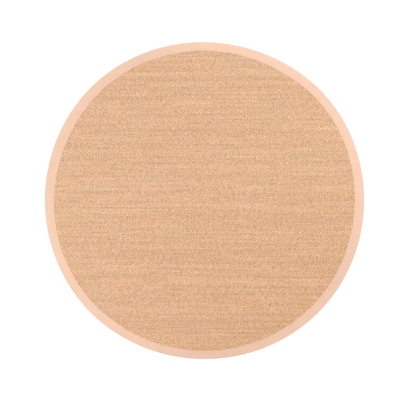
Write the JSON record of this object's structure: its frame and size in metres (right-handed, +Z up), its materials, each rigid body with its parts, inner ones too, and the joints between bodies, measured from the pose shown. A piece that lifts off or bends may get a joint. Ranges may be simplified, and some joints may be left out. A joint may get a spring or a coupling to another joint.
{
  "type": "round sisal rug",
  "caption": "Round flat-woven sisal rug that lies on a floor, its cut rim bound with a folded cotton tape.",
  "frame": {"origin": "on the floor, at the middle of the rug's bounding box", "axes": "+Z up, out of the walked-on face; +X along the weft yarns; +Y across them"},
  "size_m": [1.602, 1.5898, 0.007],
  "materials": {
    "sisal_weave": "coarse weft-faced plain weave of golden sisal yarn, dry and matte, tone varying from yarn to yarn",
    "cotton_tape": "smooth pale peach cotton tape, matte"
  },
  "bodies": {
    "root": {"sisal_mat": "sisal_weave", "cotton_binding": "cotton_tape"}
  },
  "joints": []
}
